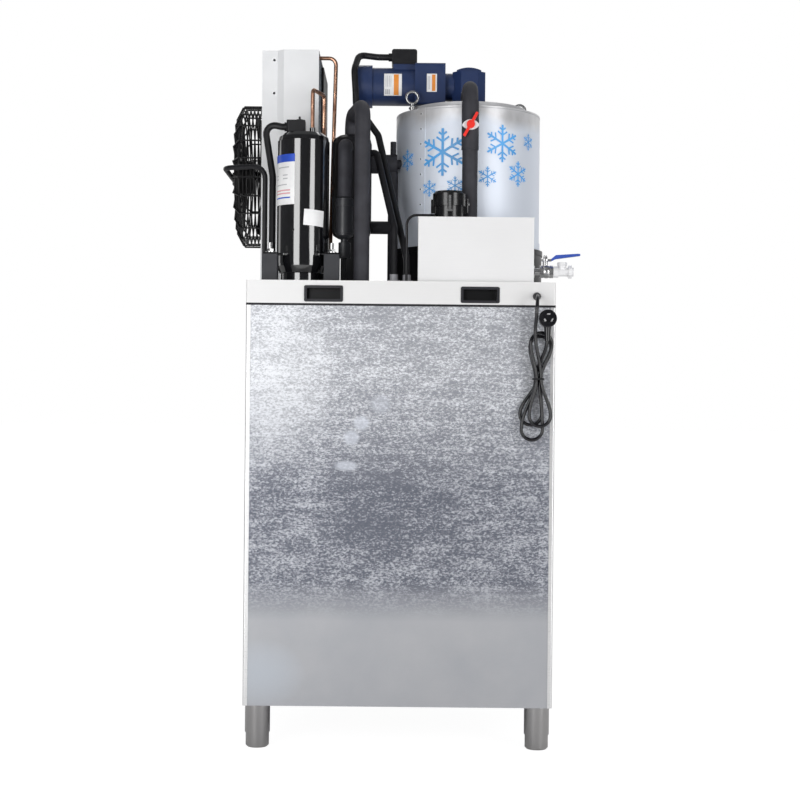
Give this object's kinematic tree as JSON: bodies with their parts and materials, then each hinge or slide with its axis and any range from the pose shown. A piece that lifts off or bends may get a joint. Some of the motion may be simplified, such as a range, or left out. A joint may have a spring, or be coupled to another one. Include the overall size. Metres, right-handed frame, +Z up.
{
  "type": "flake ice machine",
  "caption": "Flake ice machine: stainless storage bin on legs with an open refrigerating unit, flaking drum, gearmotor, water tank and fan condenser on its tray.",
  "frame": {"origin": "on the floor below the middle of the machine", "axes": "+X to the right seen from the back, +Y towards the door at the front, +Z up"},
  "size_m": [0.8369, 0.6972, 1.6482],
  "materials": {
    "stainless": "brushed",
    "galvanised": "spangled zinc",
    "liner": "satin",
    "foam": "foam",
    "bright_steel": "satin",
    "jacket": "satin",
    "seal_rubber": "matte",
    "black_plastic": "satin",
    "cord": "satin",
    "base_paint": "satin",
    "motor_blue": "satin",
    "lagging": "closed foam",
    "grey_plastic": "satin",
    "float_plastic": "satin",
    "white_plastic": "gloss",
    "red_plastic": "gloss",
    "blue_plastic": "gloss",
    "black_enamel": "gloss",
    "copper": "drawn copper",
    "fins": "fins",
    "white_paint": "satin",
    "guard_wire": "powder coat"
  },
  "bodies": {
    "machine": {"left_side_panel": "stainless", "right_side_panel": "stainless", "front_panel": "stainless", "base_tray": "stainless", "water_tank": "stainless", "tank_cover": "stainless", "back_panel": "galvanised", "bottom_panel": "galvanised", "bin_liner": "liner", "foam_insulation": "foam", "door_hinges": "bright_steel", "leg_tubes": "bright_steel", "eye_bolts": "bright_steel", "freezing_cylinder": "bright_steel", "drum_lid": "bright_steel", "inlet_valve": "bright_steel", "drum_jacket": "jacket", "tray_gasket": "seal_rubber", "cord_grommet": "seal_rubber", "compressor_posts": "seal_rubber", "flush_pulls": "black_plastic", "circulating_pump": "black_plastic", "terminal_cover": "black_plastic", "motor_terminal_box": "black_plastic", "cable_conduits": "black_plastic", "cord_tie": "black_plastic", "power_cord": "cord", "cord_hank": "cord", "power_plug": "cord", "drum_base": "base_paint", "fan_motor": "base_paint", "gearbox": "motor_blue", "gear_head": "motor_blue", "motor_barrel": "motor_blue", "motor_fan_cover": "motor_blue", "water_hose": "lagging", "lagged_pipes": "lagging", "cable_glands": "grey_plastic", "flow_valve_body": "white_plastic", "inlet_fitting": "white_plastic", "compressor": "black_enamel", "accumulator": "black_enamel", "filter_drier": "black_enamel", "copper_pipes": "copper", "condenser_coil": "fins", "condenser_shroud": "white_paint", "fan_guard": "guard_wire"},
    "fan": {"fan_blades": "black_plastic"},
    "scraper": {"scraper_shaft": "bright_steel", "scraper_blades": "bright_steel"},
    "flow_handle": {"flow_valve_handle": "red_plastic"},
    "inlet_handle": {"inlet_lever": "blue_plastic"},
    "door": {"bin_door": "stainless", "door_seal": "seal_rubber", "door_handle": "bright_steel"},
    "rear_left_foot": {"foot_rear_left": "bright_steel"},
    "rear_right_foot": {"foot_rear_right": "bright_steel"},
    "front_left_foot": {"foot_front_left": "bright_steel"},
    "front_right_foot": {"foot_front_right": "bright_steel"},
    "float": {"float_arm": "float_plastic"}
  },
  "joints": [
    {"name": "fan_spin", "type": "hinge", "parent": "machine", "child": "fan", "pos_m": [-0.339, 0.0898, 1.348], "axis": [1, 0, 0], "continuous": true},
    {"name": "scraper_spin", "type": "hinge", "parent": "machine", "child": "scraper", "pos_m": [0.161, -0.0022, 1.3], "axis": [0, 0, 1], "continuous": true},
    {"name": "flow_valve_turn", "type": "hinge", "parent": "machine", "child": "flow_handle", "pos_m": [0.157, -0.2202, 1.428], "axis": [0, 1, 0], "range_deg": [-29, 61]},
    {"name": "inlet_valve_turn", "type": "hinge", "parent": "machine", "child": "inlet_handle", "pos_m": [0.331, -0.2502, 1.113], "axis": [0, 0, 1], "range_deg": [0, 90]},
    {"name": "door_swing", "type": "hinge", "parent": "machine", "child": "door", "pos_m": [0.294, 0.2702, 0.747], "axis": [0, 0, -1], "range_deg": [0, 110]},
    {"name": "rear_left_screw", "type": "slide", "parent": "machine", "child": "rear_left_foot", "axis": [0, 0, -1], "range_m": [0, 0.02]},
    {"name": "rear_right_screw", "type": "slide", "parent": "machine", "child": "rear_right_foot", "axis": [0, 0, -1], "range_m": [0, 0.02]},
    {"name": "front_left_screw", "type": "slide", "parent": "machine", "child": "front_left_foot", "axis": [0, 0, -1], "range_m": [0, 0.02]},
    {"name": "front_right_screw", "type": "slide", "parent": "machine", "child": "front_right_foot", "axis": [0, 0, -1], "range_m": [0, 0.02]},
    {"name": "float_swing", "type": "hinge", "parent": "machine", "child": "float", "pos_m": [0.282, -0.2502, 1.103], "axis": [0, 1, 0], "range_deg": [0, 25]}
  ]
}
